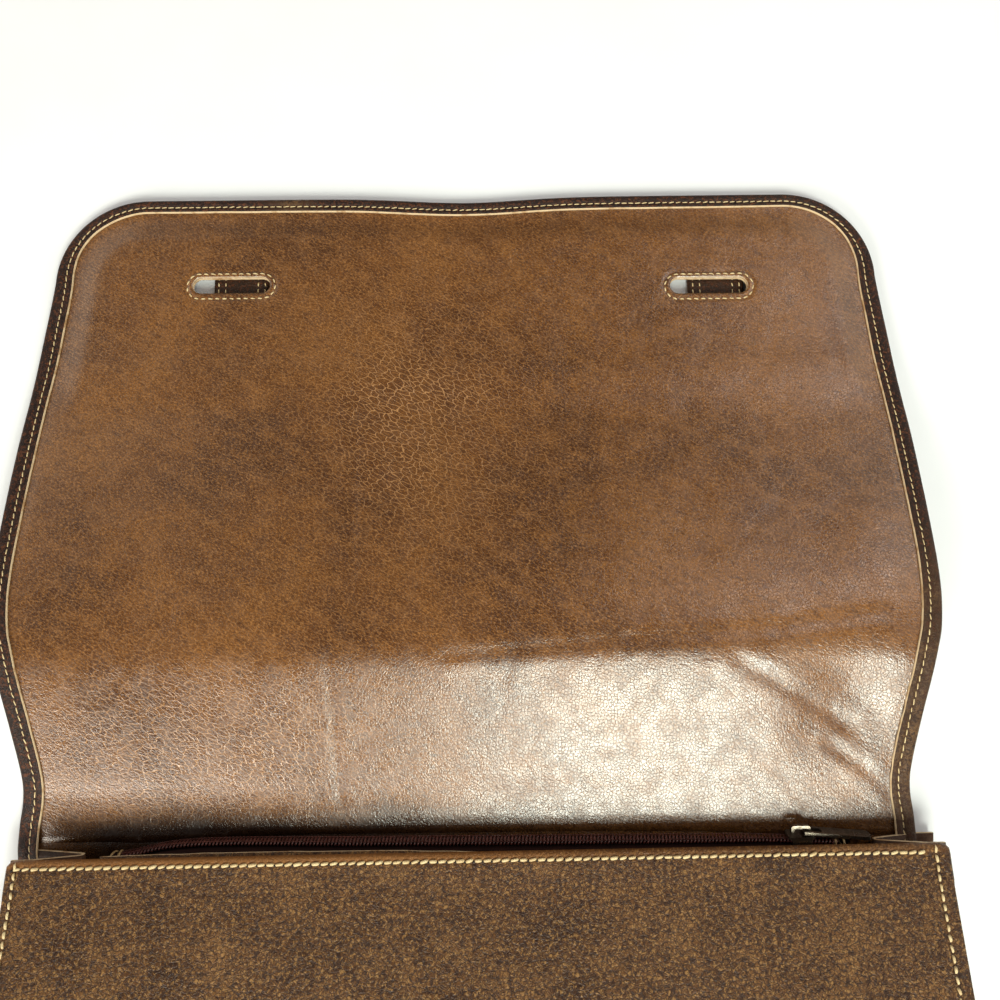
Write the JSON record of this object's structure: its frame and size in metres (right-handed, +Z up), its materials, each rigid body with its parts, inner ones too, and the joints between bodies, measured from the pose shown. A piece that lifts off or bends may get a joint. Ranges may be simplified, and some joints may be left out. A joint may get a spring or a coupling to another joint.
{
  "type": "leather document case",
  "caption": "Soft leather document case lying on its back, bound flap folded open lining side up, zipped mouth with folded gussets, and two stitched closing slots.",
  "frame": {"origin": "middle of the whole case on the surface that it lies on", "axes": "+Y from the bottom of the case towards the free edge of the open flap, +X to the right along the mouth, +Z up"},
  "size_m": [0.3942, 0.5649, 0.075],
  "materials": {
    "outer_leather": "crackled, distressed brown leather with worn flecks",
    "lining_leather": "pebbled brown leather with a soft gloss",
    "binding_leather": "dark distressed strip with pale raw edges",
    "facing_leather": "thin leather strip with a pale raw edge",
    "gusset_leather": "brown leather with pale raw edges",
    "strap_leather": "dark brown strap leather",
    "zip_tape": "woven dark brown zip tape",
    "zip_coil": "red-brown nylon coil",
    "dark_metal": "worn gunmetal",
    "thread": "waxed cream thread"
  },
  "bodies": {
    "case": {"back_and_flap": "outer_leather", "flap_lining": "lining_leather", "flap_binding": "binding_leather", "front_panel": "outer_leather", "front_facing": "facing_leather", "gusset_left": "gusset_leather", "gusset_right": "gusset_leather", "bottom_panel": "gusset_leather", "zip_tape_front": "zip_tape", "zip_tape_back": "zip_tape", "zip_coil": "zip_coil", "zip_row_front": "zip_coil", "zip_row_back": "zip_coil", "zip_slider": "dark_metal", "strap_left": "strap_leather", "strap_right": "strap_leather", "staple_left": "dark_metal", "staple_right": "dark_metal"},
    "zip_pull": {"zip_pull": "dark_metal"}
  },
  "joints": [
    {"name": "zip_pull_swing", "type": "hinge", "parent": "case", "child": "zip_pull", "pos_m": [0.1376, -0.00193, 0.0106], "axis": [0, -0.3043, 0.9526], "range_deg": [0, 160]}
  ]
}
